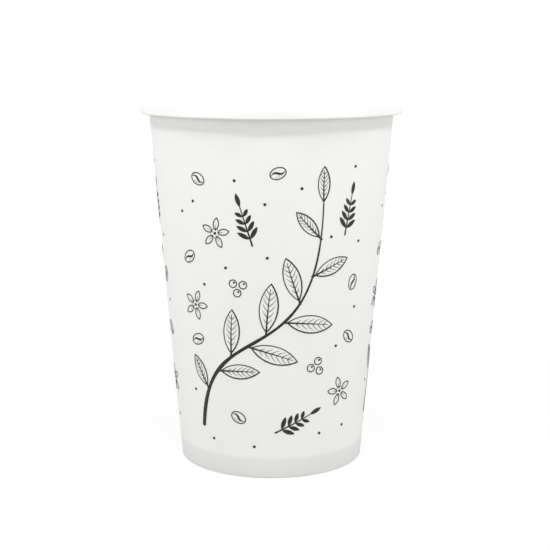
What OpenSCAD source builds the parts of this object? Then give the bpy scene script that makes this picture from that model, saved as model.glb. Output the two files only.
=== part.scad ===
// Paper coffee cup: one rolled paperboard wall with a curled lip and a folded
// foot, a bottom disc held in that fold, and a print on the outside.
// Millimetres. +Z is up, the cup stands on z = 0 with its axis at x = y = 0,
// the front of the print faces -Y and the wall's seam is at the back, on +Y.

/* [Cup] */
// Height from the table to the top of the lip
cup_h = 124.5; // [90:0.5:150]
// Diameter over the lip
mouth_d = 90; // [80:0.5:100]
// Outer diameter of the wall where it meets the table
base_d = 63.5; // [54:0.5:70]
// Thickness of the wall's paperboard
board_t = 0.4; // [0.3:0.02:0.5]

/* [Lip] */
// Width of the curled lip, from the inside of the wall to its outer edge
lip_w = 3.4; // [3:0.1:4.2]
// Height of the curled lip
lip_h = 4.3; // [4.2:0.1:5.5]
// How far the lip's lower half curls back towards the wall, in degrees
lip_tuck = 140; // [90:5:140]

/* [Foot] */
// Height of the fold turned up inside the foot
fold_h = 6; // [4:0.5:8]
// Inner radius of the two bends at the foot
fold_bend = 0.06; // [0.04:0.01:0.1]
// Radial room for the seal on each side of the bottom's skirt
seal_gap = 0.03; // [0.01:0.01:0.06]

/* [Bottom] */
// Thickness of the bottom's paperboard
bottom_t = 0.35; // [0.25:0.05:0.45]
// Height of the bottom's underside above the table
bottom_z = 7; // [5:0.5:10]
// Inner radius of the bend between the bottom and its skirt
skirt_bend = 0.4; // [0.2:0.1:0.8]
// Height of the skirt's lower edge above the table
skirt_z = 0.9; // [0.8:0.1:2]

/* [Seam] */
// Width of the wall's overlap
seam_w = 7; // [5:0.5:10]
// Distance of the overlap's ends from the foot and from the lip
seam_end = 0.6; // [0.5:0.1:2]

/* [Print] */
// Thickness of the printed layer
ink_t = 0.08; // [0.06:0.01:0.12]
// Gap between the printed layer and the wall
ink_gap = 0.02; // [0.01:0.01:0.04]
// Number of times the pattern repeats round the cup
repeats = 3; // [2:1:3]
// Width of the line round a leaf
leaf_line = 0.4; // [0.3:0.05:0.6]
// Width of the line round small motifs
small_line = 0.36; // [0.3:0.02:0.5]
// Width of the main stem at its foot
stem_w = 1.5; // [1:0.1:2]
// Width of the main stem at its tip
stem_tip_w = 0.5; // [0.4:0.1:0.8]
// Length of the longest leaf
leaf_l = 17; // [14:0.5:18]
// Width of a leaf as a share of its length
leaf_share = 0.38; // [0.3:0.02:0.42]
// Number of leaves along the main stem
leaf_count = 9; // [5:2:9]
// Length of a bean
bean_l = 5.6; // [4:0.2:6]
// Width of a bean
bean_w = 4; // [3:0.2:4.4]
// Radius of a berry
berry_r = 1.45; // [1.2:0.05:1.5]
// Radius of a dot
dot_r = 0.5; // [0.3:0.05:0.7]

/* [Hidden] */
$fn = 96;

board_color = "#F3F2ED";
bottom_color = "#EFEDE6";
ink_color = "#2E2A28";

// The wall's middle line is straight, and touches the circle of the lip's curl
curl_r = (lip_w - board_t) / 2;
curl_c = [mouth_d / 2 - board_t / 2 - curl_r, cup_h - board_t / 2 - curl_r];
foot_mid_r = base_d / 2 - board_t / 2;
tilt = atan2(curl_c[0] - foot_mid_r, curl_c[1])
    - asin(curl_r / norm(curl_c - [foot_mid_r, 0]));
lip_straight = lip_h - lip_w;

// Radii of the wall at a height: its middle, its outside and its inside
function mid_r(z) = foot_mid_r + z * tan(tilt);
function out_r(z) = mid_r(z) + board_t / 2 / cos(tilt);
function in_r(z) = mid_r(z) - board_t / 2 / cos(tilt);

// Radii of the middle of the skirt and of the fold, inside the wall
function skirt_r(z) = in_r(z) - seal_gap - bottom_t / 2 / cos(tilt);
function fold_r(z) = skirt_r(z) - seal_gap - (bottom_t + board_t) / 2 / cos(tilt);

// A sheet's middle line is a list of [radius, height, angle], where the angle is
// the way that the face on the line's left looks. Points on an arc round c from
// angle a to angle b, whose left face looks inwards if the arc turns left:
function arc(c, r, a, b, steps) = [
    for (i = [0:steps])
        let (at = a + (b - a) * i / steps)
        [c[0] + r * cos(at), c[1] + r * sin(at), b > a ? at + 180 : at]
];

// Section of a sheet, from its middle line and its thickness
function face(p, out) = [p[0] + out * cos(p[2]), p[1] + out * sin(p[2])];
function sheet(path, t) = concat(
    [for (i = [0:len(path) - 1]) face(path[i], t / 2)],
    [for (i = [len(path) - 1:-1:0]) face(path[i], -t / 2)]
);

// Middle line of the wall's board: fold, foot, wall, lip
bend_r = fold_bend + board_t / 2;
bend_z = board_t / 2 + bend_r;
wall_path = concat(
    [[fold_r(fold_h), fold_h, -tilt]],
    arc([fold_r(bend_z) + bend_r / cos(tilt), bend_z], bend_r, 180 - tilt, 270, 6),
    arc([mid_r(bend_z) - bend_r / cos(tilt), bend_z], bend_r, -90, -tilt, 6),
    arc(curl_c, curl_r, 180 - tilt, 0, 20),
    arc(curl_c - [0, lip_straight], curl_r, 0, -lip_tuck, 14)
);

// Middle line of the bottom's board: disc, bend, skirt
skirt_bend_r = skirt_bend + bottom_t / 2;
disc_z = bottom_z + bottom_t / 2;
skirt_bend_c = [skirt_r(disc_z - skirt_bend_r) - skirt_bend_r / cos(tilt), disc_z - skirt_bend_r];
bottom_path = concat(
    [[0, disc_z, 90]],
    arc(skirt_bend_c, skirt_bend_r, 90, -tilt, 8),
    [[skirt_r(skirt_z), skirt_z, -tilt]]
);

module side_wall() {
    color(board_color)
    union() {
        rotate_extrude() polygon(sheet(wall_path, board_t));
        seam_lap();
    }
}

// The free edge of the blank lies over the other one, from the foot to the lip
module seam_lap() {
    low = bend_z + seam_end;
    high = cup_h - lip_h - seam_end;
    intersection() {
        rotate_extrude() polygon([
            [mid_r(low), low],
            [out_r(low) + board_t, low],
            [out_r(high) + board_t, high],
            [mid_r(high), high]
        ]);
        translate([-seam_w / 2, 0, 0]) cube([seam_w, mouth_d, cup_h]);
    }
}

module bottom_disc() {
    color(bottom_color)
    rotate_extrude() polygon(sheet(bottom_path, bottom_t));
}

// The print. A motif is drawn flat, in millimetres round its own foot, and
// stands on the wall at [degrees round from the front, percent of the cup's
// height, turn of the motif]. This is one repeat of it.
STEM = [[-43, 13.5], [-34, 48], [26.5, 27.5], [25, 75]];
TWIGS = [[-9, 64, 108], [2, 13, 26], [38, 66, 78]];
BLOSSOMS = [[-28, 67, 10], [42, 23, 30], [-43, 47, 0]];
BERRIES = [[-17, 53, 25], [25, 31, -50]];
BEANS = [
    [-45, 60, 35], [-36, 81, -25], [3, 83, 20], [46, 53, 75],
    [-19, 17, -30], [46, 38, -40], [-43, 37.5, 20]
];
DOTS = [
    [-48, 72], [-17, 81], [14, 79], [42, 84], [-48, 23], [-36, 53], [48, 64],
    [-23, 58], [49, 46], [46, 13], [29, 12], [-10, 9], [-36, 10], [37, 36],
    [-40, 75], [-2, 61], [-3, 75], [30, 66]
];

stem_steps = 28;
// Leaves stand on the main stem from one share of its length to another
leaf_from = 0.13;
leaf_to = 0.93;
leaf_turn = 50;
leaf_short = 0.7;
leaf_gap = 0.2;
rib_w = 0.6;
rib_tip_w = 0.12;
rib_share = 0.86;
twig_l = 14;
twig_w = 0.6;
twig_leaf_l = 4.6;
twig_leaf_w = 1.5;
twig_pairs = 4;
twig_turn = 46;
// The twig's lowest leaves, and its highest, as shares of its length
twig_from = 0.18;
twig_to = 0.72;
twig_shrink = 0.12;
petal_l = 4.4;
petal_w = 2.3;
petal_count = 5;
petal_from = 0.9;
berry_count = 3;
berry_spread = 1.35;
shine_r = berry_r / 4;
crease_w = 0.7;
crease_tip_w = 0.2;
crease_share = 0.8;
crease_sway = 0.12;
bean_blunt = 1.2;
ink_from_r = base_d / 4;

// Point on a curve of four guides, its direction, and the same in degrees
function curve(p, t) =
    pow(1 - t, 3) * p[0] + 3 * pow(1 - t, 2) * t * p[1]
    + 3 * (1 - t) * t * t * p[2] + pow(t, 3) * p[3];
function along(p, t) =
    pow(1 - t, 2) * (p[1] - p[0]) + 2 * (1 - t) * t * (p[2] - p[1]) + t * t * (p[3] - p[2]);
function heading(p, t) = atan2(along(p, t)[1], along(p, t)[0]);

// A stroke's outline, from its middle line and its half width at each point
function left_of(path, i) =
    let (
        d = path[min(i + 1, len(path) - 1)] - path[max(i - 1, 0)],
        u = d / norm(d)
    )
    [-u[1], u[0]];
function stroke(path, half) = concat(
    [for (i = [0:len(path) - 1]) path[i] + left_of(path, i) * half[i]],
    [for (i = [len(path) - 1:-1:0]) path[i] - left_of(path, i) * half[i]]
);

// A place in the lists above as [millimetres round the wall, height]
function flat_at(p) =
    let (z = p[1] / 100 * cup_h)
    [p[0] * PI / 180 * out_r(z), z];
stem_guides = [for (p = STEM) flat_at(p)];

// Angle round the wall of a point of the flat print, and the same point as
// seen straight from the front
function round_a(p) = p[0] / out_r(p[1]) * 180 / PI;
function seen(p) = [out_r(p[1]) * sin(round_a(p)), p[1]];

module on_wall(p, turn = 0) {
    rotate([0, 0, round_a(p)])
        translate([0, -ink_from_r, p[1]])
            rotate([90, 0, 0])
                linear_extrude(mouth_d / 2)
                    rotate(turn) children();
}

// Pointed oval of length l and width w from its foot, less a rim of width trim
module pointed(l, w, trim = 0) {
    r = (l * l + w * w) / (4 * w);
    intersection_for (side = [-1, 1])
        translate([l / 2, side * (r - w / 2)]) circle(r - trim);
}

module leaf(l) {
    w = l * leaf_share;
    difference() {
        pointed(l, w);
        pointed(l, w, leaf_line);
    }
    polygon(stroke([[leaf_line, 0], [rib_share * l, 0]], [rib_w / 2, rib_tip_w / 2]));
}

module twig() {
    reach = twig_to - twig_from;
    polygon(stroke([[0, 0], [twig_l, 0]], [twig_w / 2, twig_w / 4]));
    for (k = [0:twig_pairs - 1], side = [-1, 1])
        translate([twig_l * (twig_from + reach * k / (twig_pairs - 1)), side * twig_w / 4])
            rotate(side * twig_turn)
                pointed(twig_leaf_l * (1 - twig_shrink * k), twig_leaf_w * (1 - twig_shrink * k / 2));
    translate([twig_l - twig_w, 0]) pointed(twig_leaf_l, twig_leaf_w);
}

module blossom() {
    circle(dot_r);
    for (k = [0:petal_count - 1])
        rotate(k * 360 / petal_count) translate([petal_from, 0])
            difference() {
                pointed(petal_l, petal_w);
                pointed(petal_l, petal_w, small_line);
            }
}

module berry() {
    difference() {
        circle(berry_r);
        circle(berry_r - small_line);
    }
    translate([shine_r, shine_r]) circle(shine_r);
}

module berries() {
    for (k = [0:berry_count - 1])
        rotate(k * 360 / berry_count) translate([berry_spread * berry_r, 0]) berry();
}

// Blunt oval of a bean, less a rim of width trim
module bean_shape(trim = 0) {
    intersection() {
        translate([-bean_blunt / 2 * bean_l, 0]) pointed(bean_blunt * bean_l, bean_w, trim);
        circle(bean_l / 2 - trim);
    }
}

module bean() {
    reach = crease_share / 2 * bean_l;
    thin = crease_tip_w / 2;
    steps = 8;
    difference() {
        bean_shape();
        bean_shape(small_line);
    }
    polygon(stroke(
        [for (i = [0:steps])
            [reach * (2 * i / steps - 1), crease_sway * bean_w * sin(360 * i / steps)]],
        [for (i = [0:steps]) thin + (crease_w / 2 - thin) * sin(180 * i / steps)]
    ));
}

// The main stem spans much of the front, so its outline is bent to the wall
// point by point and then goes straight through to the front
module main_stem() {
    flat = stroke(
        [for (i = [0:stem_steps]) curve(stem_guides, i / stem_steps)],
        [for (i = [0:stem_steps]) (stem_w + (stem_tip_w - stem_w) * i / stem_steps) / 2]
    );
    translate([0, -ink_from_r, 0]) rotate([90, 0, 0])
        linear_extrude(mouth_d / 2) polygon([for (p = flat) seen(p)]);
}

// Leaves stand by turns on the two sides of the main stem, longest in the middle
module stem_leaves() {
    for (k = [0:leaf_count - 1]) {
        share = k / (leaf_count - 1);
        t = leaf_from + (leaf_to - leaf_from) * share;
        side = k % 2 == 0 ? 1 : -1;
        way = heading(stem_guides, t);
        off = (stem_w + (stem_tip_w - stem_w) * t) / 2 + leaf_gap;
        foot = curve(stem_guides, t) + side * off * [-sin(way), cos(way)];
        l = leaf_l * (leaf_short + (1 - leaf_short) * sin(180 * share));
        on_wall(foot, way + side * leaf_turn) leaf(l);
    }
    tip = curve(stem_guides, 1) + [0, leaf_gap];
    on_wall(tip, heading(stem_guides, 1)) leaf(leaf_short * leaf_l);
}

module one_repeat() {
    main_stem();
    stem_leaves();
    for (p = TWIGS) on_wall(flat_at(p), p[2]) twig();
    for (p = BLOSSOMS) on_wall(flat_at(p), p[2]) blossom();
    for (p = BERRIES) on_wall(flat_at(p), p[2]) berries();
    for (p = BEANS) on_wall(flat_at(p), p[2]) bean();
    for (p = DOTS) on_wall(flat_at(p)) circle(dot_r);
}

// The thin layer on the wall that the motifs are cut from
module ink_layer() {
    low = bend_z + seam_end;
    high = cup_h - lip_h - seam_end;
    rotate_extrude() polygon([
        [out_r(low) + ink_gap, low],
        [out_r(low) + ink_gap + ink_t, low],
        [out_r(high) + ink_gap + ink_t, high],
        [out_r(high) + ink_gap, high]
    ]);
}

module printed_pattern() {
    color(ink_color)
    for (k = [0:repeats - 1])
        rotate([0, 0, k * 360 / repeats])
            intersection() {
                ink_layer();
                one_repeat();
            }
}

side_wall();
bottom_disc();
printed_pattern();
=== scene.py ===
"""A paper coffee cup: a rolled board wall with a curled lip, a raised bottom and a dark print."""

import math

import bpy
import numpy as np
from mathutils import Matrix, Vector, noise


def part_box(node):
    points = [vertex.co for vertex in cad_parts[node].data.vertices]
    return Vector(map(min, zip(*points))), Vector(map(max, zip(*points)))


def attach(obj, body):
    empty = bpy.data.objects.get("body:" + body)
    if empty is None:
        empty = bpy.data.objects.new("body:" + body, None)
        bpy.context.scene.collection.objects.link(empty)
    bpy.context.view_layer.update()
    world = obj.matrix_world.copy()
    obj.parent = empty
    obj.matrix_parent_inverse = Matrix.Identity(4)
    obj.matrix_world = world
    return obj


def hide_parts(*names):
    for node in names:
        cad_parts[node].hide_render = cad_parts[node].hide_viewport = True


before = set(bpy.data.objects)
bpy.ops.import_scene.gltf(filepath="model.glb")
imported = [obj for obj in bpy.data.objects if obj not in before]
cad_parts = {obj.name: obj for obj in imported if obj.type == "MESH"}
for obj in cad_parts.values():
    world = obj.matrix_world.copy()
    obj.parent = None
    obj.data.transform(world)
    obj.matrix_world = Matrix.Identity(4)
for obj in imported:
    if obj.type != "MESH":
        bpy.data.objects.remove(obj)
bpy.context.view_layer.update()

bl_info = {
    "name": "Paper coffee cup",
    "version": (1, 0, 0),
    "blender": (4, 5, 0),
    "location": "View3D > Sidebar > Cup",
    "description": "Models a paper cup for hot drinks over its construction solids",
    "category": "Add Mesh",
}

MM = 0.001

# Sizes that the frame gives
WALL_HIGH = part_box("side_wall")[1]
CUP_HEIGHT = WALL_HIGH.z
LIP_RADIUS = WALL_HIGH.x


def millimetres(name, description, value, low, high):
    """A length that a user may change, shown in scene units."""
    return bpy.props.FloatProperty(
        name=name,
        description=description,
        default=value * MM,
        min=low * MM,
        max=high * MM,
        precision=5,
        subtype="DISTANCE",
        unit="LENGTH",
    )


def strength(name, description, value):
    """A lamp's power, or the room's light."""
    return bpy.props.FloatProperty(
        name=name, description=description, default=value, min=0, max=10
    )


def colour(name, description, value):
    """A colour that a user may change."""
    return bpy.props.FloatVectorProperty(
        name=name,
        description=description,
        default=value,
        min=0.0,
        max=1.0,
        size=3,
        subtype="COLOR",
    )


class CupSizes(bpy.types.PropertyGroup):
    """Sizes of the rolled wall and the bottom."""

    height: millimetres("Height", "Table to the top of the lip", CUP_HEIGHT / MM, 60, 200)
    lip_radius: millimetres(
        "Lip radius", "Axis to the outside of the lip", LIP_RADIUS / MM, 30, 60
    )
    foot_radius: millimetres(
        "Foot radius", "Axis to the wall's outside at the table", 31.75, 20, 50
    )
    board: millimetres("Wall board", "Thickness of the wall's board", 0.4, 0.2, 0.6)
    lip_width: millimetres(
        "Lip width", "Inside of the wall to the outside of the lip", 3.4, 2.5, 5
    )
    lip_height: millimetres("Lip height", "Height of the curled lip", 4.3, 3.5, 6)
    lip_bend: millimetres("Lip bend", "Radius of the bends low on the lip", 0.5, 0.3, 1.5)
    fold_height: millimetres("Fold height", "Top of the fold inside the foot", 6, 3, 9)
    fold_bend: millimetres("Fold bend", "Inner radius of the bends at the foot", 0.06, 0.02, 0.2)
    seal: millimetres("Seal", "Room for the seal on each side of the skirt", 0.03, 0.0, 0.1)
    bottom_board: millimetres("Bottom board", "Thickness of the bottom's board", 0.35, 0.2, 0.5)
    bottom_height: millimetres("Bottom height", "Table to the bottom's underside", 7, 4, 12)
    skirt_bend: millimetres("Skirt bend", "Inner radius of the skirt's bend", 0.4, 0.2, 1)
    skirt_low: millimetres("Skirt low", "Table to the skirt's lower edge", 0.9, 0.5, 3)
    seam_width: millimetres("Seam width", "Width of the wall's overlap", 7, 4, 12)
    seam_ramp: millimetres("Seam ramp", "Width over which the board climbs on to itself", 5, 2, 10)
    columns: bpy.props.IntProperty(
        name="Columns", description="Faces round the cup", default=240, min=96, max=360
    )


class CupColours(bpy.types.PropertyGroup):
    """Colours of the board and the ink."""

    board: colour("Board", "Outside of the wall", (0.905, 0.905, 0.88))
    lining: colour("Lining", "Lined face: the inside and the lip", (0.915, 0.915, 0.895))
    edge: colour("Cut edge", "Bare edge of the board", (0.80, 0.775, 0.72))
    ink: colour("Ink", "Print on the wall", (0.022, 0.018, 0.0155))
    floor: colour("Floor", "Studio floor", (0.46, 0.46, 0.46))


class PrintSizes(bpy.types.PropertyGroup):
    """Sizes of the printed motifs."""

    lift: millimetres("Lift", "Gap between the ink and the wall", 0.03, 0.01, 0.1)
    ink: millimetres("Ink", "Thickness of the ink", 0.03, 0.01, 0.1)
    repeats: bpy.props.IntProperty(
        name="Repeats", description="Times the pattern goes round", default=3, min=1, max=3
    )
    leaf: millimetres("Leaf", "Length of the longest leaf", 17, 8, 20)
    leaf_line: millimetres("Leaf line", "Width of the line round a leaf", 0.4, 0.2, 0.8)
    small_line: millimetres("Small line", "Width of the line round a small motif", 0.36, 0.2, 0.8)
    vein: millimetres("Vein", "Width of a leaf's side vein", 0.24, 0.1, 0.5)
    stem: millimetres("Stem", "Width of the main stem at its foot", 1.5, 0.5, 3)
    stem_tip: millimetres("Stem tip", "Width of the main stem at its tip", 0.5, 0.2, 1)
    bean_length: millimetres("Bean length", "Length of a bean", 5.6, 3, 9)
    bean_width: millimetres("Bean width", "Width of a bean", 4, 2, 7)
    berry: millimetres("Berry", "Radius of a berry", 1.45, 0.8, 2.5)
    dot: millimetres("Dot", "Radius of a dot", 0.5, 0.2, 1)


class StageSizes(bpy.types.PropertyGroup):
    """Camera and lamps."""

    distance: millimetres("Distance", "Camera to the cup's axis", 447, 200, 2000)
    camera_height: millimetres("Camera height", "Camera above the table", 145.7, 0, 1000)
    pitch: bpy.props.FloatProperty(
        name="Pitch", description="How far the camera looks down", default=0.1819,
        min=-1.0, max=1.5, subtype="ANGLE",
    )
    lens: bpy.props.FloatProperty(
        name="Lens", description="Focal length on a 36 mm sensor, in millimetres", default=84.9,
        min=20, max=200,
    )
    shift: bpy.props.FloatProperty(
        name="Shift", description="Sideways shift of the frame", default=0.0066, min=-0.2, max=0.2
    )
    ambient: strength("Ambient", "Light from the white room", 0.46)
    key: strength("Key lamp", "Power of the small lamp above the camera", 0.13)
    brows: strength("Brow lamps", "Power of each small lamp close beside the key lamp", 0.09)
    shoulders: strength("Shoulder lamps", "Power of each small lamp further out", 0.31)
    tops: strength("Top lamps", "Power of each lamp above the cup's sides", 0.52)
    front: strength("Front lamp", "Power of the large low lamp before the cup", 0.26)
    fills: strength("Fill lamps", "Power of each large low lamp at the cup's sides", 1.50)
    back: strength("Back lamp", "Power of the large lamp behind the cup", 1.2)


# Shapes in the plane of the section: x is the radius, y the height

# The wall's waves: how far they stand off a true cone, and how far apart they are
WOBBLE = 0.16 * MM
WOBBLE_REACH = 60 * MM
# The lip's curl: where its inner bend ends, in degrees, and its room beside the wall
LIP_TUCK = 150
LIP_ROOM = 0.35 * MM
# Rows of faces along the straight runs, and steps round the bends
FOLD_ROWS = 8
WALL_ROWS = 56
LIP_ROWS = 3
DISC_ROWS = 20
SKIRT_ROWS = 6
BEND_STEPS = 6
CURL_STEPS = 28
TUCK_STEPS = 10
SKIRT_STEPS = 8


def arc(centre, radius, start, end, steps):
    """Points on an arc, from one angle to another, in degrees."""
    turns = np.radians(np.linspace(start, end, steps + 1))
    return [centre + radius * Vector((math.cos(a), math.sin(a))) for a in turns]


def rows(start, end, steps):
    """Points between two points, without the first."""
    return [start.lerp(end, i / steps) for i in range(1, steps + 1)]


class Wall:
    """The wall's straight line in the section, and the circle of its curl."""

    def __init__(self, sizes):
        self.sizes = sizes
        self.board = sizes.board
        self.curl = (sizes.lip_width - sizes.board) / 2
        self.curl_at = Vector((
            sizes.lip_radius - sizes.board / 2 - self.curl,
            sizes.height - sizes.board / 2 - self.curl,
        ))
        self.drop = sizes.lip_height - sizes.lip_width
        self.foot = sizes.foot_radius - sizes.board / 2
        across = self.curl_at - Vector((self.foot, 0))
        self.tilt = math.atan2(across.x, across.y) - math.asin(self.curl / across.length)
        self.lean = math.cos(self.tilt)

    def middle(self, z):
        """Radius of the middle of the wall's board."""
        return self.foot + z * math.tan(self.tilt)

    def outside(self, z):
        """Radius of the wall's outside."""
        return self.middle(z) + self.board / 2 / self.lean

    def skirt(self, z):
        """Radius of the middle of the bottom's skirt."""
        boards = self.board + self.sizes.bottom_board
        return self.middle(z) - boards / 2 / self.lean - self.sizes.seal

    def fold(self, z):
        """Radius of the middle of the fold inside the skirt."""
        boards = self.board + self.sizes.bottom_board
        return self.skirt(z) - boards / 2 / self.lean - self.sizes.seal

    def wobble(self, angle, z):
        """How far the thin wall stands off a true cone, at an angle and a height."""
        share = min(max(z / self.sizes.height, 0.0), 1.0)
        place = Vector((math.cos(angle), math.sin(angle), z / WOBBLE_REACH))
        return WOBBLE * math.sin(math.pi * share) * noise.noise(place)


def wall_line(wall):
    """Middle line of the wall's board: fold, foot, wall, lip."""
    sizes = wall.sizes
    tilt = math.degrees(wall.tilt)
    bend = sizes.fold_bend + sizes.board / 2
    low = sizes.board / 2 + bend
    inner = Vector((wall.fold(low) + bend / wall.lean, low))
    outer = Vector((wall.middle(low) - bend / wall.lean, low))
    top = Vector((wall.fold(sizes.fold_height), sizes.fold_height))
    inner_bend = arc(inner, bend, 180 - tilt, 270, BEND_STEPS)
    outer_bend = arc(outer, bend, -90, -tilt, BEND_STEPS)
    curl = arc(wall.curl_at, wall.curl, 180 - tilt, 0, CURL_STEPS)
    low_bend = sizes.height - sizes.lip_height + sizes.board / 2 + sizes.lip_bend
    spread = Vector((wall.curl - sizes.lip_bend, 0))
    room = Vector((LIP_ROOM, 0))
    below = Vector((wall.curl_at.x, low_bend))
    face = arc(below + spread, sizes.lip_bend, 0, -90, TUCK_STEPS)
    tuck = arc(below - spread + room, sizes.lip_bend, -90, -LIP_TUCK, TUCK_STEPS)
    line = [top] + rows(top, inner_bend[0], FOLD_ROWS) + inner_bend[1:] + outer_bend
    line += rows(outer_bend[-1], curl[0], WALL_ROWS) + curl[1:]
    line += rows(curl[-1], face[0], LIP_ROWS) + face[1:]
    return line + rows(face[-1], tuck[0], LIP_ROWS) + tuck[1:]


def bottom_line(wall):
    """Middle line of the bottom's board: disc, bend, skirt."""
    sizes = wall.sizes
    tilt = math.degrees(wall.tilt)
    bend = sizes.skirt_bend + sizes.bottom_board / 2
    flat = sizes.bottom_height + sizes.bottom_board / 2
    centre = Vector((wall.skirt(flat - bend) - bend / wall.lean, flat - bend))
    turned = arc(centre, bend, 90, -tilt, SKIRT_STEPS)
    middle = Vector((0, flat))
    skirt_end = Vector((wall.skirt(sizes.skirt_low), sizes.skirt_low))
    line = [middle] + rows(middle, turned[0], DISC_ROWS) + turned[1:]
    return line + rows(turned[-1], skirt_end, SKIRT_ROWS)


# Modelling steps that several pieces share

MERGE_DISTANCE = 0.001 * MM
SMOOTH_ANGLE = 40


def pick_only(obj):
    """Selects one object and makes it active."""
    bpy.ops.object.select_all(action="DESELECT")
    obj.select_set(True)
    bpy.context.view_layer.objects.active = obj


def revolved(name, line, columns, thickness, materials):
    """A sheet turned round the cup's axis from its middle line, then given its thickness.

    The materials go on the face right of the line, on its other face and on its cut edges.
    """
    bpy.ops.object.select_all(action="DESELECT")
    bpy.ops.mesh.primitive_plane_add(size=MM, location=(0, 0, 0))
    piece = bpy.context.object
    piece.name = piece.data.name = name
    for material in materials:
        piece.data.materials.append(material)
    bpy.ops.object.mode_set(mode="EDIT")
    bpy.ops.mesh.select_all(action="SELECT")
    bpy.ops.mesh.merge(type="CENTER")
    bpy.ops.transform.translate(value=(line[0].x, 0, line[0].y))
    for start, end in zip(line, line[1:]):
        step = (end.x - start.x, 0, end.y - start.y)
        bpy.ops.mesh.extrude_region_move(TRANSFORM_OT_translate={"value": step})
    bpy.ops.mesh.select_all(action="SELECT")
    bpy.ops.mesh.spin(steps=columns, angle=math.tau, center=(0, 0, 0), axis=(0, 0, 1))
    bpy.ops.mesh.select_all(action="SELECT")
    bpy.ops.mesh.remove_doubles(threshold=MERGE_DISTANCE)
    bpy.ops.object.mode_set(mode="OBJECT")
    thick = piece.modifiers.new("board", "SOLIDIFY")
    thick.thickness = thickness
    thick.offset = 0
    thick.use_even_offset = True
    thick.material_offset = 1
    thick.material_offset_rim = 2
    bpy.ops.object.modifier_apply(modifier=thick.name)
    bpy.ops.object.mode_set(mode="EDIT")
    bpy.ops.mesh.select_all(action="SELECT")
    bpy.ops.mesh.normals_make_consistent(inside=False)
    bpy.ops.object.mode_set(mode="OBJECT")
    return piece


def points_of(piece):
    """The mesh's points as rows of x, y, z."""
    flat = np.zeros(len(piece.data.vertices) * 3)
    piece.data.vertices.foreach_get("co", flat)
    return flat.reshape(-1, 3)


def move_points(piece, points):
    """Puts the mesh's points where the rows say."""
    piece.data.vertices.foreach_set("co", points.ravel())
    piece.data.update()


def smooth(piece):
    """Shades the piece smooth, with creases where faces turn sharply."""
    pick_only(piece)
    bpy.ops.object.shade_smooth_by_angle(angle=math.radians(SMOOTH_ANGLE))


def eased(value):
    """0 to 1 with a soft start and end."""
    value = np.clip(value, 0, 1)
    return value * value * (3 - 2 * value)


# The wall's seam, wobble and lip

# Columns beside the back of the cup that meet the marks of the overlap
SEAM_COLUMNS = (-24, -11, -5, -4, 3, 4, 24)
# Half the width of a cut edge's slope, and how far round its faces have to turn
SEAM_EDGE = 0.1 * MM
SEAM_SLANT = 0.4
# Heights between which the foot presses the overlap flat
FOOT_PRESS = (0.6 * MM, 3.5 * MM)
# The height over which the lip presses it, and the share that is left
LIP_PRESS = 3 * MM
LIP_SHARE = 0.35
# The waves in the lip's lower edge: their height, how close they are, and their place in the noise
LIP_WAVE = 0.07 * MM
LIP_WAVES = 2.5
LIP_WAVE_LAYER = 7.0


def gather_seam_columns(points, sizes):
    """Moves the mesh's columns sideways so that they meet the edges of the overlap."""
    radius = np.hypot(points[:, 0], points[:, 1])
    turn = np.arctan2(points[:, 0], points[:, 1])
    column = np.rint(turn / (math.tau / sizes.columns))
    half = sizes.seam_width / 2
    reach = SEAM_COLUMNS[-1] * math.tau / sizes.columns
    near = np.abs(column) <= SEAM_COLUMNS[-1]
    sideways = turn * radius
    for i in np.nonzero(near)[0]:
        far = reach * radius[i]
        marks = (
            -far, -half - sizes.seam_ramp, -half - SEAM_EDGE, -half + SEAM_EDGE,
            half - SEAM_EDGE, half + SEAM_EDGE, far,
        )
        sideways[i] = np.interp(column[i], SEAM_COLUMNS, marks)
    moved = sideways / np.maximum(radius, MM)
    points[:, 0] = radius * np.sin(moved)
    points[:, 1] = radius * np.cos(moved)
    return sideways


def climb(sideways, sizes):
    """How much of its thickness the board has climbed on to itself, beside and on the seam."""
    start = -sizes.seam_width / 2 - sizes.seam_ramp
    risen = eased((sideways - start) / sizes.seam_ramp)
    return np.where(sideways < sizes.seam_width / 2, risen, 0.0)


def lap_the_seam(points, wall):
    """Lays one edge of the board over the other, at the back of the cup."""
    sizes = wall.sizes
    outer, inner = np.split(points, 2)
    across = outer - inner
    across /= np.linalg.norm(across, axis=1)[:, None]
    radius = np.hypot(outer[:, 0], outer[:, 1])
    height = outer[:, 2]
    angle = np.arctan2(outer[:, 0], outer[:, 1])
    in_fold = (radius < wall.skirt(height)) & (height < 2 * sizes.fold_height)
    lip_foot = sizes.height - sizes.lip_height
    pressed = 1 - (1 - LIP_SHARE) * eased((height - lip_foot + LIP_PRESS) / LIP_PRESS)
    pressed *= eased((height - FOOT_PRESS[0]) / (FOOT_PRESS[1] - FOOT_PRESS[0]))
    pressed = np.where(in_fold, 0.0, pressed * sizes.board)
    sideways = gather_seam_columns(points, sizes)[:len(outer)]
    turn = sideways / np.maximum(radius, MM) - angle
    cos, sin = np.cos(turn), np.sin(turn)
    across[:, 0], across[:, 1] = (
        across[:, 0] * cos + across[:, 1] * sin, across[:, 1] * cos - across[:, 0] * sin,
    )
    risen = climb(sideways, sizes) * pressed
    outer += across * risen[:, None]
    inner += across * np.where(sideways < -sizes.seam_width / 2, risen, 0.0)[:, None]


def bend_by_hand(points, wall):
    """The small unevenness of a real cup: the wall's wobble and the lip's wavy lower edge."""
    for point in points:
        angle = math.atan2(point[1], point[0])
        radius = math.hypot(point[0], point[1])
        scale = 1 + wall.wobble(angle, point[2]) / max(radius, MM)
        point[0] *= scale
        point[1] *= scale
        below = wall.curl_at.y - point[2]
        if radius > wall.outside(point[2]) + wall.board and below > 0:
            place = Vector((
                math.cos(angle) * LIP_WAVES, math.sin(angle) * LIP_WAVES, LIP_WAVE_LAYER,
            ))
            point[2] += LIP_WAVE * noise.noise(place) * min(below / wall.drop, 1.0)


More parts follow.
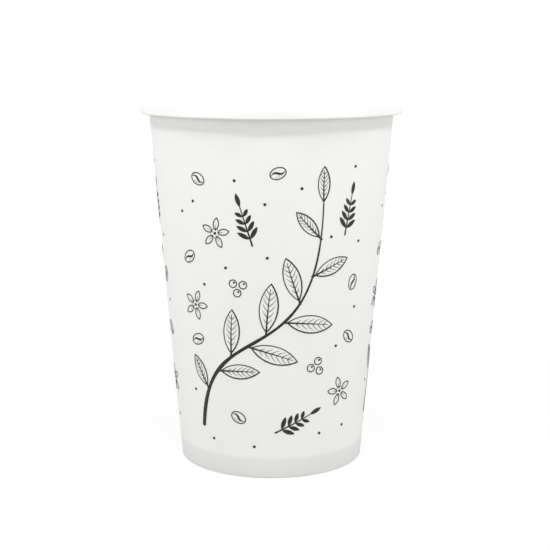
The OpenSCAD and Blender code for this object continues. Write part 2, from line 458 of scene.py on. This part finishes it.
def bare_the_seam(piece):
    """Gives the board's cut edges along the seam the third material."""
    for face in piece.data.polygons:
        sideways = face.normal.x * face.center.y - face.normal.y * face.center.x
        if abs(sideways) > SEAM_SLANT * math.hypot(face.center.x, face.center.y):
            face.material_index = 2


# Shader maths


class Value:
    """A number in a shader: expressions on it add Math nodes."""

    def __init__(self, finish, socket):
        self.finish = finish
        self.socket = socket

    def _math(self, operation, first, second):
        return self.finish.node(
            "ShaderNodeMath", {"operation": operation}, {0: first, 1: second}
        )

    def __add__(self, other):
        return self._math("ADD", self, other)

    __radd__ = __add__

    def __sub__(self, other):
        return self._math("SUBTRACT", self, other)

    def __rsub__(self, other):
        return self._math("SUBTRACT", other, self)

    def __mul__(self, other):
        return self._math("MULTIPLY", self, other)

    __rmul__ = __mul__


class Finish:
    """A material, or the room's light, under construction."""

    def __init__(self, owner):
        if isinstance(owner, str):
            owner = bpy.data.materials.new(owner)
            owner.use_nodes = True
        self.material = owner
        self.tree = owner.node_tree
        surface = self.output().inputs["Surface"]
        self.shader = surface.links[0].from_node

    def output(self):
        """The node that the finished surface goes to."""
        return next(
            node for node in self.tree.nodes if node.bl_idname.startswith("ShaderNodeOutput")
        )

    def out(self, surface):
        """Makes a shader the finished surface."""
        self.feed(self.output().inputs["Surface"], surface)

    def node(self, kind, settings=None, inputs=None, output=0):
        """Adds a node, with its settings and then its sockets' values or links."""
        made = self.tree.nodes.new(kind)
        for key, value in (settings or {}).items():
            setattr(made, key, value)
        for key, value in (inputs or {}).items():
            self.feed(made.inputs[key], value)
        return Value(self, made.outputs[output])

    def feed(self, socket, value):
        """Links a value to a socket, or sets a constant on it."""
        if isinstance(value, Value):
            self.tree.links.new(value.socket, socket)
        else:
            socket.default_value = value

    def place(self, stretch=(1, 1, 1)):
        """The point on the piece, stretched."""
        at = self.node("ShaderNodeTexCoord", output="Object")
        return self.node("ShaderNodeMapping", inputs={"Vector": at, "Scale": stretch})

    def noise(self, at, scale, detail=2.0, roughness=0.5):
        """Soft noise from 0 to 1, in features of 1 / scale metres."""
        return self.node("ShaderNodeTexNoise", inputs={
            "Vector": at, "Scale": scale, "Detail": detail, "Roughness": roughness,
        })

    def between(self, share, first, second):
        """A colour between two colours."""
        first, second = (c if isinstance(c, Value) else (*c, 1) for c in (first, second))
        return self.node("ShaderNodeMix", {"data_type": "RGBA"}, {
            "Factor": share, 6: first, 7: second,
        }, output=2)

    def bump(self, height, distance):
        """Feeds a relief of that height to the shader."""
        normal = self.node("ShaderNodeBump", inputs={
            "Strength": 1.0, "Distance": distance, "Height": height,
        }, output="Normal")
        self.set("Normal", normal)

    def set(self, name, value):
        """Sets or links one of the shader's own sockets."""
        self.feed(self.shader.inputs[name], value)


# Tones of the darkest and the palest spots, as shares of the colour
BOARD_TONES = (0.975, 1.02)
EDGE_TONES = (0.88, 1.05)
INK_TONES = (0.7, 1.7)
ROUGH_SPREAD = 0.12
# Painted shade on the wall's foot, darker towards the table: its tone, the share of it that comes
# in one step, the step's place and the slope's end in heights of the bottom, and the step's
# unevenness
FOOT_SHADE_TONE = 0.87
FOOT_SHADE_STEP = 0.55
FOOT_SHADE_EDGE = (0.90, 1.08)
FOOT_SHADE_SLOPE = 1.2
FOOT_SHADE_UNEVEN = 0.5 * MM


def shade(tint, factor):
    """A colour made darker or lighter."""
    return tuple(min(channel * factor, 1.0) for channel in tint)


def painted_foot_shade(finish, top):
    """Mask of the painted shade on the wall's foot: 0 above the doubled board at the foot, and up
    to 1 at the table.
    """
    height = finish.node("ShaderNodeSeparateXYZ", inputs={0: finish.place()}, output="Z")
    height = height + (finish.noise(finish.place(), 90, 2) - 0.5) * FOOT_SHADE_UNEVEN
    edge = finish.node("ShaderNodeMapRange", {"interpolation_type": "SMOOTHSTEP"}, {
        "Value": height, "From Min": FOOT_SHADE_EDGE[0] * top, "From Max": FOOT_SHADE_EDGE[1] * top,
        "To Min": FOOT_SHADE_STEP, "To Max": 0.0,
    })
    slope = finish.node("ShaderNodeMapRange", inputs={
        "Value": height, "From Min": 0.0, "From Max": FOOT_SHADE_SLOPE * top,
        "To Min": 1 - FOOT_SHADE_STEP, "To Max": 0.0,
    })
    return edge + slope


def board_finish(name, tint, rough, relief, foot=0.0):
    """Coated cup board: faint clouds, fine fibres, and painted shade at the foot where the board
    is doubled.
    """
    finish = Finish(name)
    clouds = finish.noise(finish.place(), 140, 3)
    fibres = finish.noise(finish.place((1, 1, 0.45)), 2600, 4, 0.65)
    grain = finish.noise(finish.place(), 620, 2)
    dark, pale = (shade(tint, tone) for tone in BOARD_TONES)
    white = finish.between(clouds * 0.6 + fibres * 0.4, dark, pale)
    # Painted shade: the colour darkens below the bottom's height, towards the table
    if foot:
        white = finish.between(painted_foot_shade(finish, foot), white, shade(tint, FOOT_SHADE_TONE))
    finish.set("Base Color", white)
    finish.set("Roughness", rough - ROUGH_SPREAD / 2 + ROUGH_SPREAD * grain)
    finish.bump(fibres * 0.55 + grain * 0.45, relief)
    return finish.material


def edge_finish(name, tint):
    """The bare cut edge of the board, with its layers showing."""
    finish = Finish(name)
    layers = finish.noise(finish.place((6, 6, 1)), 900, 3)
    dark, pale = (shade(tint, tone) for tone in EDGE_TONES)
    finish.set("Base Color", finish.between(layers, dark, pale))
    finish.set("Roughness", 0.85)
    finish.bump(layers, 0.03 * MM)
    return finish.material


def ink_finish(name, tint):
    """Printing ink: a little paler where it is thin, as the paper shows through."""
    finish = Finish(name)
    thin = finish.noise(finish.place(), 1500, 3, 0.7)
    patches = finish.noise(finish.place(), 160, 2)
    dark, pale = (shade(tint, tone) for tone in INK_TONES)
    finish.set("Base Color", finish.between(thin * 0.6 + patches * 0.4, dark, pale))
    finish.set("Roughness", 0.5 + ROUGH_SPREAD * thin)
    finish.set("Specular IOR Level", 0.3)
    finish.bump(thin, 0.004 * MM)
    return finish.material


class CUP_OT_side_wall(bpy.types.Operator):
    """Rolls the board into the wall, with its lip, foot and seam"""

    bl_idname = "cup.side_wall"
    bl_label = "Side Wall"

    def execute(self, context):
        sizes = context.scene.cup_sizes
        colours = context.scene.cup_colours
        wall = Wall(sizes)
        piece = revolved("cup_wall", wall_line(wall), sizes.columns, sizes.board, (
            # The outside gets painted shade at its foot, up to the bottom's height
            board_finish(
                "board_outside", colours.board, 0.55, 0.010 * MM, foot=sizes.bottom_height
            ),
            board_finish("board_lining", colours.lining, 0.38, 0.006 * MM),
            edge_finish("board_cut_edge", colours.edge),
        ))
        points = points_of(piece)
        lap_the_seam(points, wall)
        bend_by_hand(points, wall)
        move_points(piece, points)
        bare_the_seam(piece)
        smooth(piece)
        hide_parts("side_wall")
        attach(piece, "root")
        return {"FINISHED"}


# How far the bottom's middle sags, and how wide its level rim is
DISC_SAG = 0.35 * MM
DISC_RIM = 2.5 * MM


class CUP_OT_bottom(bpy.types.Operator):
    """Presses the bottom with its skirt turned down"""

    bl_idname = "cup.bottom"
    bl_label = "Bottom"

    def execute(self, context):
        sizes = context.scene.cup_sizes
        colours = context.scene.cup_colours
        wall = Wall(sizes)
        piece = revolved("cup_bottom", bottom_line(wall), sizes.columns, sizes.bottom_board, (
            board_finish("bottom_underside", colours.board, 0.62, 0.014 * MM),
            board_finish("bottom_lining", colours.lining, 0.40, 0.006 * MM),
            edge_finish("bottom_cut_edge", colours.edge),
        ))
        points = points_of(piece)
        radius = np.hypot(points[:, 0], points[:, 1])
        points[:, 2] -= DISC_SAG * eased(1 - radius / (sizes.foot_radius - DISC_RIM))
        move_points(piece, points)
        smooth(piece)
        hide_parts("bottom_disc")
        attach(piece, "root")
        return {"FINISHED"}


# The print: a motif stands at [degrees round from the front, percent of the
# cup's height, turn of the motif], and is drawn flat round its own foot

STEM = ((-43, 13.5), (-34, 48), (26.5, 27.5), (25, 75))
TWIGS = ((-9, 64, 108), (2, 13, 26), (38, 66, 78))
BLOSSOMS = ((-28, 67, 10), (42, 23, 30), (-43, 47, 0))
BERRIES = ((-17, 53, 25), (25, 31, -50))
BEANS = (
    (-45, 60, 35), (-36, 81, -25), (3, 83, 20), (46, 53, 75),
    (-19, 17, -30), (46, 38, -40), (-43, 37.5, 20),
)
DOTS = (
    (-48, 72), (-17, 81), (14, 79), (42, 84), (-48, 23), (-36, 53), (48, 64),
    (-23, 58), (49, 46), (46, 13), (29, 12), (-10, 9), (-36, 10), (37, 36),
    (-40, 75), (-2, 61), (-3, 75), (30, 66),
)
# The main stem: steps along it, and the slight swelling of its line
STEM_STEPS = 48
STEM_SWELL = 0.10
STEM_SWELLS = 31
# Its leaves: how many, where on the stem, how they turn from it, and their shape
LEAVES = 9
LEAF_FROM = 0.13
LEAF_TO = 0.93
LEAF_TURN = 50
LEAF_SHORT = 0.7
LEAF_SHARE = 0.38
LEAF_GAP = 0.2 * MM
LEAF_SHADE = 0.07 * MM
LEAF_STEPS = 14
STALK = (-1.2 * MM, 0.6 * MM)
# A leaf's rib and side veins, in shares of the leaf's length
RIB = 0.3 * MM
RIB_REACH = 0.88
RIB_BOW = 0.012
RIB_STEPS = 8
VEIN_PAIRS = 6
VEIN_FROM = 0.08
VEIN_STEP = 0.115
# A twig: its length, its stem's half width, and its leaves
TWIG = 14 * MM
TWIG_STEM = 0.3 * MM
TWIG_PAIRS = 4
TWIG_STEP = 0.18
TWIG_LEAF = (4.6 * MM, 1.5 * MM)
TWIG_TURN = 46
# A flower: its petals, the crease in each, and the stamens between them
PETALS = 5
PETAL = (4.4 * MM, 2.3 * MM)
PETAL_FROM = 0.9 * MM
PETAL_CREASE = (0.5 * MM, 2.3 * MM)
STAMEN = 0.36 * MM
STAMEN_FROM = 1.5 * MM
# A bunch of berries, and a bean's crease and shading strokes
BUNCH = 3
BUNCH_SPREAD = 1.35
BEAN_CREASE = 0.35 * MM
BEAN_STEPS = 12
BEAN_STROKES = 3
# The finest half width, the step between layers, and the longest edge round the cup
FINE = 0.06 * MM
LAYER = 0.003 * MM
LAYERS = 4
LONGEST_EDGE = 1.2 * MM


def pointed(length, width, trim=0.0):
    """A leaf's outline, from two arcs that meet in points, drawn in by trim."""
    radius = (length ** 2 + width ** 2) / (4 * width)
    drawn = radius - trim
    below = radius - width / 2
    half = math.sqrt(drawn ** 2 - below ** 2)
    xs = np.linspace(-half, half, LEAF_STEPS + 1)
    upper = [(x + length / 2, math.sqrt(drawn ** 2 - x * x) - below) for x in xs[:-1]]
    lower = [(length / 2 - x, below - math.sqrt(drawn ** 2 - x * x)) for x in xs[:-1]]
    return upper + lower


def oval(length, width, trim=0.0, steps=32):
    """An ellipse's outline, drawn in by trim."""
    turns = np.linspace(0, math.tau, steps + 1)[:-1]
    long, wide = length / 2 - trim, width / 2 - trim
    return [(long * math.cos(a), wide * math.sin(a)) for a in turns]


def stroke(line, halves):
    """The outline of a pen stroke along a line, with its half width at each point."""
    line = [Vector(p) for p in line]
    left, right = [], []
    for i, point in enumerate(line):
        way = (line[min(i + 1, len(line) - 1)] - line[max(i - 1, 0)]).normalized()
        side = Vector((-way.y, way.x)) * halves[i]
        left.append(tuple(point + side))
        right.append(tuple(point - side))
    return left + right[::-1]


def moved(outline, at, turn):
    """An outline turned, in degrees, and put in its place."""
    cos, sin = math.cos(math.radians(turn)), math.sin(math.radians(turn))
    return [(at[0] + x * cos - y * sin, at[1] + x * sin + y * cos) for x, y in outline]


def curve_point(guides, share):
    """Point on a curve of four guides, and its direction in degrees."""
    a, b, c, d = guides
    ab, bc, cd = a.lerp(b, share), b.lerp(c, share), c.lerp(d, share)
    before, after = ab.lerp(bc, share), bc.lerp(cd, share)
    way = after - before
    return before.lerp(after, share), math.degrees(math.atan2(way.y, way.x))


class Drawing:
    """The flat print: closed outlines with holes, each on its own thin layer."""

    def __init__(self, sizes, wall):
        self.sizes = sizes
        self.wall = wall
        self.shapes = []

    def place(self, degrees, percent):
        """A place on the wall as metres round it from the front, and height."""
        height = percent / 100 * CUP_HEIGHT
        return Vector((math.radians(degrees) * self.wall.outside(height), height))

    def add(self, at, turn, *outlines):
        """Adds one shape: its outline, and any holes in it."""
        self.shapes.append([moved(outline, at, turn) for outline in outlines])

    def leaf(self, at, turn, length):
        """An outlined leaf with a middle rib and side veins."""
        sizes = self.sizes
        width = length * LEAF_SHARE
        hole = [(x, y + LEAF_SHADE) for x, y in pointed(length, width, sizes.leaf_line)]
        self.add(at, turn, pointed(length, width), hole)
        reach = np.linspace(0, RIB_REACH * length, RIB_STEPS + 1)
        bend = [RIB_BOW * length * math.sin(math.pi * x / length) for x in reach]
        halves = [RIB * (1 - 0.8 * x / length) for x in reach]
        self.add(at, turn, stroke(list(zip(reach, bend)), halves))
        for pair in range(1, VEIN_PAIRS + 1):
            start = length * (VEIN_FROM + VEIN_STEP * pair)
            room = width / 2 * 4 * (start / length) * (1 - start / length)
            for side in (-1, 1):
                line = [
                    (start, side * FINE),
                    (start + 0.34 * room, side * 0.38 * room),
                    (start + 0.80 * room, side * 0.66 * room),
                ]
                self.add(at, turn, stroke(line, [sizes.vein / 2, sizes.vein / 2.6, FINE / 2]))

    def main_stem(self):
        """The long stem with its leaves, by turns on its two sides."""
        sizes = self.sizes
        guides = [self.place(*guide) for guide in STEM]
        shares = np.linspace(0, 1, STEM_STEPS + 1)
        line = [curve_point(guides, s)[0] for s in shares]
        thin = sizes.stem_tip - sizes.stem
        halves = [
            (sizes.stem + thin * s) / 2 * (1 + STEM_SWELL * math.sin(STEM_SWELLS * s))
            for s in shares
        ]
        self.add((0, 0), 0, stroke(line, halves))
        self.add(guides[0], 0, oval(sizes.stem, sizes.stem, steps=20))
        for k in range(LEAVES):
            share = k / (LEAVES - 1)
            along = LEAF_FROM + (LEAF_TO - LEAF_FROM) * share
            at, heading = curve_point(guides, along)
            side = 1 if k % 2 == 0 else -1
            turn = math.radians(heading)
            off = (sizes.stem + thin * along) / 2 + LEAF_GAP
            foot = at + side * off * Vector((-math.sin(turn), math.cos(turn)))
            out = heading + side * LEAF_TURN
            length = sizes.leaf * (LEAF_SHORT + (1 - LEAF_SHORT) * math.sin(math.pi * share))
            self.leaf(foot, out, length)
            stalk = [(end, 0) for end in STALK]
            self.add(foot, out, stroke(stalk, [RIB * 1.3, RIB]))
        at, heading = curve_point(guides, 1)
        self.leaf(at + Vector((0, LEAF_GAP)), heading, LEAF_SHORT * sizes.leaf)

    def twig(self, at, turn):
        """A short twig with small dark leaves."""
        line = [(0, 0), (TWIG / 2, 0), (TWIG, 0)]
        self.add(at, turn, stroke(line, [TWIG_STEM, TWIG_STEM * 0.75, TWIG_STEM / 2]))
        for k in range(TWIG_PAIRS):
            along = TWIG * TWIG_STEP * (k + 1)
            for side in (-1, 1):
                foot = moved([(along, side * TWIG_STEM / 2)], at, turn)[0]
                small = pointed(TWIG_LEAF[0] * (1 - 0.12 * k), TWIG_LEAF[1] * (1 - 0.06 * k))
                self.add(foot, turn + side * TWIG_TURN, small)
        tip = moved([(TWIG - 0.6 * MM, 0)], at, turn)[0]
        self.add(tip, turn, pointed(*TWIG_LEAF))

    def blossom(self, at, turn):
        """A flower of five outlined petals with a dot and stamens in the middle."""
        line = self.sizes.small_line
        self.add(at, 0, oval(2 * self.sizes.dot, 2 * self.sizes.dot, steps=20))
        apart = 360 / PETALS
        crease = [(end, 0) for end in PETAL_CREASE]
        for k in range(PETALS):
            way = turn + apart * k
            foot = moved([(PETAL_FROM, 0)], at, way)[0]
            self.add(foot, way, pointed(*PETAL), pointed(*PETAL, line))
            self.add(foot, way, stroke(crease, [FINE * 1.6, FINE / 2]))
            stamen = moved([(STAMEN_FROM, 0)], at, way + apart / 2)[0]
            self.add(stamen, 0, oval(STAMEN, STAMEN, steps=10))

    def berries(self, at, turn):
        """Three berries in a bunch."""
        sizes = self.sizes
        wide = 2 * sizes.berry
        for k in range(BUNCH):
            place = moved([(BUNCH_SPREAD * sizes.berry, 0)], at, turn + 360 / BUNCH * k)[0]
            self.add(place, 0, oval(wide, wide), oval(wide, wide, sizes.small_line))
            shine = (place[0] + sizes.berry / 4, place[1] + sizes.berry / 4)
            self.add(shine, 0, oval(wide / 4, wide / 4, steps=14))

    def bean(self, at, turn):
        """A coffee bean with its curved crease and a few shading strokes."""
        sizes = self.sizes
        long, wide = sizes.bean_length, sizes.bean_width
        self.add(at, turn, oval(long, wide), oval(long, wide, sizes.small_line))
        shares = np.linspace(0, 1, BEAN_STEPS + 1)
        line = [(0.42 * long * (2 * s - 1), 0.12 * wide * math.sin(math.tau * s)) for s in shares]
        halves = [FINE + (BEAN_CREASE - FINE) * math.sin(math.pi * s) for s in shares]
        self.add(at, turn, stroke(line, halves))
        for k in range(BEAN_STROKES):
            start = (-0.20 + 0.16 * k) * long
            low = -wide * (0.36 - 0.03 * k)
            self.add(at, turn, stroke(
                [(start, low), (start + 0.08 * long, low + 0.16 * wide)], [FINE, FINE / 2]
            ))

    def one_repeat(self):
        """Draws all the motifs of one repeat."""
        self.main_stem()
        for motif, places in (
            (self.twig, TWIGS), (self.blossom, BLOSSOMS),
            (self.berries, BERRIES), (self.bean, BEANS),
        ):
            for degrees, percent, turn in places:
                motif(self.place(degrees, percent), turn)
        wide = 2 * self.sizes.dot
        for spot in DOTS:
            self.add(self.place(*spot), 0, oval(wide, wide, steps=18))


def flat_print(drawing):
    """The drawing as one flat mesh: each shape is a filled flat curve, turned into faces."""
    bpy.ops.object.select_all(action="DESELECT")
    for number, outlines in enumerate(drawing.shapes):
        drawn = bpy.data.curves.new("ink_shape", "CURVE")
        drawn.dimensions = "2D"
        drawn.fill_mode = "BOTH"
        for outline in outlines:
            loop = drawn.splines.new("POLY")
            loop.points.add(len(outline) - 1)
            for point, (x, y) in zip(loop.points, outline):
                point.co = (x, y, 0, 1)
            loop.use_cyclic_u = True
        shape = bpy.data.objects.new("ink_shape", drawn)
        shape.location.z = LAYER * (number % LAYERS)
        bpy.context.collection.objects.link(shape)
        shape.select_set(True)
        bpy.context.view_layer.objects.active = shape
    bpy.ops.object.convert(target="MESH")
    bpy.ops.object.join()
    bpy.ops.object.transform_apply(location=True, rotation=True, scale=True)
    flat = bpy.context.object
    flat.name = flat.data.name = "cup_print"
    return flat


def halve_long_edges(piece):
    """Halves the flat print's edges until none reaches too far round the cup to follow it."""
    pick_only(piece)
    bpy.context.tool_settings.mesh_select_mode = (False, True, False)
    while True:
        across = points_of(piece)[:, 0]
        ends = np.zeros(2 * len(piece.data.edges), dtype=int)
        piece.data.edges.foreach_get("vertices", ends)
        far = np.abs(across[ends[0::2]] - across[ends[1::2]]) > LONGEST_EDGE
        if not far.any():
            return
        for parts in (piece.data.vertices, piece.data.polygons):
            parts.foreach_set("select", np.zeros(len(parts), dtype=bool))
        piece.data.edges.foreach_set("select", far)
        bpy.ops.object.mode_set(mode="EDIT")
        bpy.ops.mesh.subdivide(number_cuts=1)
        bpy.ops.object.mode_set(mode="OBJECT")


def wrap(piece, wall, lift, start):
    """Lays a flat print on the wall, from an angle round the cup."""
    points = points_of(piece)
    for point in points:
        across, height, layer = point
        angle = across / wall.outside(height) + start
        round_back = math.atan2(-math.cos(angle), math.sin(angle))
        radius = wall.outside(height)
        past_seam = math.remainder(angle - math.pi, math.tau) * radius
        radius += float(climb(-past_seam, wall.sizes)) * wall.board
        radius += wall.wobble(round_back, height) + lift + layer
        point[:] = radius * math.sin(angle), -radius * math.cos(angle), height
    move_points(piece, points)


class CUP_OT_print(bpy.types.Operator):
    """Draws the pattern flat and wraps it round the wall"""

    bl_idname = "cup.print"
    bl_label = "Print"

    def execute(self, context):
        sizes = context.scene.cup_print
        wall = Wall(context.scene.cup_sizes)
        drawing = Drawing(sizes, wall)
        drawing.one_repeat()
        first = flat_print(drawing)
        halve_long_edges(first)
        copies = [first]
        for _ in range(1, sizes.repeats):
            pick_only(first)
            bpy.ops.object.duplicate()
            copies.append(bpy.context.object)
        for number, copy in enumerate(copies):
            wrap(copy, wall, sizes.lift, math.tau * number / sizes.repeats)
        for copy in copies:
            copy.select_set(True)
        bpy.context.view_layer.objects.active = first
        bpy.ops.object.join()
        ink = first.modifiers.new("ink", "SOLIDIFY")
        ink.thickness = sizes.ink
        ink.offset = 1
        bpy.ops.object.modifier_apply(modifier=ink.name)
        first.data.materials.clear()
        first.data.materials.append(ink_finish("ink", context.scene.cup_colours.ink))
        smooth(first)
        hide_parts("printed_pattern")
        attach(first, "root")
        return {"FINISHED"}


# Camera, lamps, floor and room

# A lamp's name, its place, its width and its setting
LAMPS = (
    ("key_lamp", (0, -0.235, 0.420), 0.02, "key"),
    ("left_brow_lamp", (-0.109, -0.233, 0.405), 0.03, "brows"),
    ("right_brow_lamp", (0.109, -0.233, 0.405), 0.03, "brows"),
    ("left_shoulder_lamp", (-0.187, -0.205, 0.428), 0.04, "shoulders"),
    ("right_shoulder_lamp", (0.187, -0.205, 0.428), 0.04, "shoulders"),
    ("left_top_lamp", (-0.34, -0.03, 0.486), 0.12, "tops"),
    ("right_top_lamp", (0.34, -0.03, 0.486), 0.12, "tops"),
    ("front_lamp", (0, -0.8, 0.12), 0.4, "front"),
    ("left_fill_lamp", (-0.65, -0.4, 0.22), 0.4, "fills"),
    ("right_fill_lamp", (0.65, -0.4, 0.22), 0.4, "fills"),
    ("back_lamp", (0, 0.7, 0.25), 0.4, "back"),
)
FLOOR_SIZE = 6.0
# The white that the camera sees in the floor, its share near the cup, and where it grows to whole
FLOOR_WHITE = 1.12
FLOOR_GLOW = 0.8
GLOW_FROM = 0.12
GLOW_TO = 0.5
WHITE = (1, 1, 1, 1)


def lamp(name, at, aim, size, power):
    """Adds a square soft lamp that points at a place."""
    bpy.ops.object.light_add(type="AREA", location=at)
    made = bpy.context.object
    made.name = name
    made.data.size = size
    made.data.energy = power
    made.visible_camera = False
    made.rotation_euler = (Vector(aim) - Vector(at)).to_track_quat("-Z", "Y").to_euler()


def seen_directly(finish):
    """1 for what the camera sees, straight or in gloss or glass, and 0 for light on the cup."""
    camera, gloss, glass = (
        finish.node("ShaderNodeLightPath", output=kind)
        for kind in ("Is Camera Ray", "Is Glossy Ray", "Is Transmission Ray")
    )
    return camera + gloss + glass


def floor_finish(tint):
    """A pale floor that the camera sees nearly white, with the cup's shadow in it."""
    finish = Finish("studio_floor")
    finish.set("Base Color", (*tint, 1))
    finish.set("Roughness", 0.9)
    finish.set("Specular IOR Level", 0.0)
    glow = finish.node("ShaderNodeEmission", inputs={"Color": WHITE, "Strength": FLOOR_WHITE})
    far = finish.node(
        "ShaderNodeVectorMath", {"operation": "LENGTH"}, {0: finish.place()}, "Value"
    )
    spread = finish.node("ShaderNodeMapRange", {"interpolation_type": "SMOOTHSTEP"}, {
        "Value": far, "From Min": GLOW_FROM, "From Max": GLOW_TO,
        "To Min": FLOOR_GLOW, "To Max": 1.0,
    })
    finish.out(finish.node("ShaderNodeMixShader", inputs={
        0: seen_directly(finish) * spread, 1: Value(finish, finish.shader.outputs[0]), 2: glow,
    }))
    return finish.material


def white_room(ambient):
    """A room that lights the cup evenly and that the camera sees white."""
    room = bpy.data.worlds.new("white_room")
    room.use_nodes = True
    finish = Finish(room)
    finish.set("Color", WHITE)
    finish.set("Strength", ambient)
    seen = finish.node("ShaderNodeBackground", inputs={"Color": WHITE, "Strength": 1.0})
    finish.out(finish.node("ShaderNodeMixShader", inputs={
        0: seen_directly(finish), 1: Value(finish, finish.shader.outputs[0]), 2: seen,
    }))
    return room


class CUP_OT_stage(bpy.types.Operator):
    """Sets up the camera, the lamps, the floor and the white room"""

    bl_idname = "cup.stage"
    bl_label = "Stage"

    def execute(self, context):
        stage = context.scene.cup_stage
        scene = context.scene
        scene.view_settings.view_transform = "Standard"
        bpy.ops.object.camera_add(
            location=(0, -stage.distance, stage.camera_height),
            rotation=(math.pi / 2 - stage.pitch, 0, 0),
        )
        camera = context.object
        camera.name = "photo_camera"
        camera.data.lens = stage.lens
        camera.data.sensor_width = 36
        camera.data.shift_x = stage.shift
        scene.camera = camera
        for name, at, size, setting in LAMPS:
            lamp(name, at, (0, 0, CUP_HEIGHT / 2), size, getattr(stage, setting))
        bpy.ops.mesh.primitive_plane_add(size=FLOOR_SIZE)
        floor = context.object
        floor.name = floor.data.name = "studio_floor"
        floor.data.materials.append(floor_finish(scene.cup_colours.floor))
        scene.world = white_room(stage.ambient)
        return {"FINISHED"}


class CUP_PT_panel(bpy.types.Panel):
    """Lists the cup's sizes, colours and steps"""

    bl_idname = "CUP_PT_panel"
    bl_label = "Paper Cup"
    bl_space_type = "VIEW_3D"
    bl_region_type = "UI"
    bl_category = "Cup"

    def draw(self, context):
        layout = self.layout
        scene = context.scene
        for group in (scene.cup_sizes, scene.cup_print, scene.cup_colours, scene.cup_stage):
            box = layout.box()
            for name in group.bl_rna.properties.keys():
                if name not in ("rna_type", "name"):
                    box.prop(group, name)
        for operator in OPERATORS:
            layout.operator(operator.bl_idname)


GROUPS = {
    "cup_sizes": CupSizes,
    "cup_print": PrintSizes,
    "cup_colours": CupColours,
    "cup_stage": StageSizes,
}
OPERATORS = (CUP_OT_side_wall, CUP_OT_bottom, CUP_OT_print, CUP_OT_stage)


def register():
    """Registers the classes and puts the settings on the scene."""
    for made in (*GROUPS.values(), *OPERATORS, CUP_PT_panel):
        bpy.utils.register_class(made)
    for name, group in GROUPS.items():
        setattr(bpy.types.Scene, name, bpy.props.PointerProperty(type=group))


def unregister():
    """Takes away what register() added."""
    for name in GROUPS:
        delattr(bpy.types.Scene, name)
    for made in reversed((*GROUPS.values(), *OPERATORS, CUP_PT_panel)):
        bpy.utils.unregister_class(made)


def main():
    """Makes the cup and its stage."""
    register()
    bpy.ops.cup.side_wall()
    bpy.ops.cup.bottom()
    bpy.ops.cup.print()
    bpy.ops.cup.stage()


if __name__ == "__main__":
    main()
